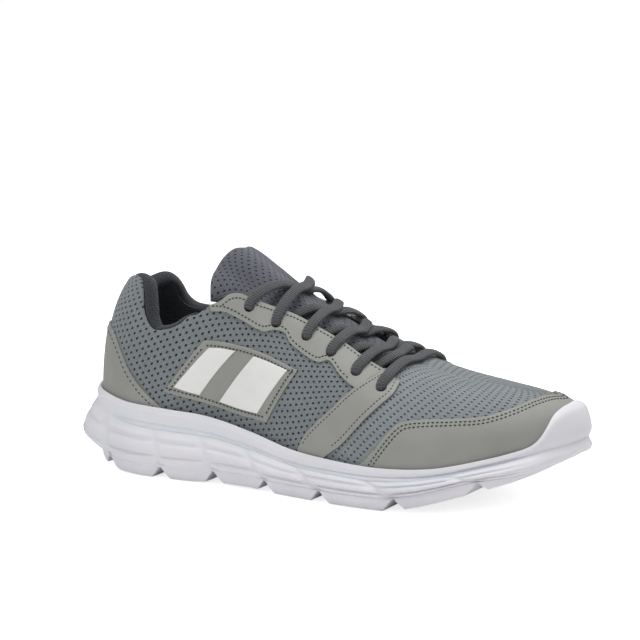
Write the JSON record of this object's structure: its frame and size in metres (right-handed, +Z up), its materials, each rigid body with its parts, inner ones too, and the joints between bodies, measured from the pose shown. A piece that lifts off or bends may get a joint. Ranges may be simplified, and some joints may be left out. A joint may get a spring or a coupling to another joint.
{
  "type": "running shoe",
  "caption": "Low-cut right-foot running shoe: perforated mesh upper with synthetic overlays, padded collar, laced throat and a foam sole with flex-grooved tread.",
  "frame": {"origin": "under the middle of the shoe's box, on the ground", "axes": "+X from heel to toe, +Y to the inner (medial) side of the foot, +Z up"},
  "size_m": [0.3028, 0.1142, 0.1252],
  "materials": {
    "sole": "satin foam",
    "mesh": "matt knitted mesh",
    "overlay": "matt synthetic",
    "mark": "smooth synthetic",
    "knit": "matt knit",
    "tongue": "matt perforated knit",
    "foam": "open-cell foam",
    "board": "fibre board",
    "sockliner": "matt knit",
    "stiffener": "matt",
    "lace": "ribbed braid",
    "aglet": "smooth"
  },
  "bodies": {
    "shoe": {"aglet_lateral": "aglet", "aglet_medial": "aglet", "collar_foam": "foam", "collar_roll": "knit", "eyelet_backing_lateral": "stiffener", "eyelet_backing_medial": "stiffener", "eyestay_lateral": "overlay", "eyestay_medial": "overlay", "heel_counter": "stiffener", "heel_lining": "knit", "heel_overlay": "overlay", "insole_board": "board", "lace": "lace", "mark_backing_lateral": "overlay", "mark_backing_medial": "overlay", "mark_bar_1_lateral": "mark", "mark_bar_1_medial": "mark", "mark_bar_2_lateral": "mark", "mark_bar_2_medial": "mark", "midfoot_strap_lateral": "overlay", "midfoot_strap_medial": "overlay", "midsole": "sole", "quarter_lining_lateral": "knit", "quarter_lining_medial": "knit", "quarter_mesh_lateral": "mesh", "quarter_mesh_medial": "mesh", "toe_cap": "overlay", "toe_puff": "stiffener", "tongue_face": "tongue", "tongue_foam": "foam", "tongue_lining": "knit", "tread_pad_1": "sole", "tread_pad_2": "sole", "tread_pad_3": "sole", "tread_pad_4": "sole", "tread_pad_5": "sole", "tread_pad_6": "sole", "tread_pad_7": "sole", "tread_pad_8": "sole", "vamp_lining": "knit", "vamp_mesh": "mesh"},
    "tongue_end": {"flap_face": "tongue", "flap_foam": "foam", "flap_lining": "knit"},
    "insole": {"sockliner": "sockliner"}
  },
  "joints": [
    {"name": "tongue_flap", "type": "hinge", "parent": "shoe", "child": "tongue_end", "pos_m": [-0.02047, 0, 0.10977], "axis": [0, 1, 0], "range_deg": [0, 45]},
    {"name": "insole_lift", "type": "hinge", "parent": "shoe", "child": "insole", "pos_m": [0.1387, 0, 0.03498], "axis": [0, 1, 0], "range_deg": [0, 1.5]}
  ]
}
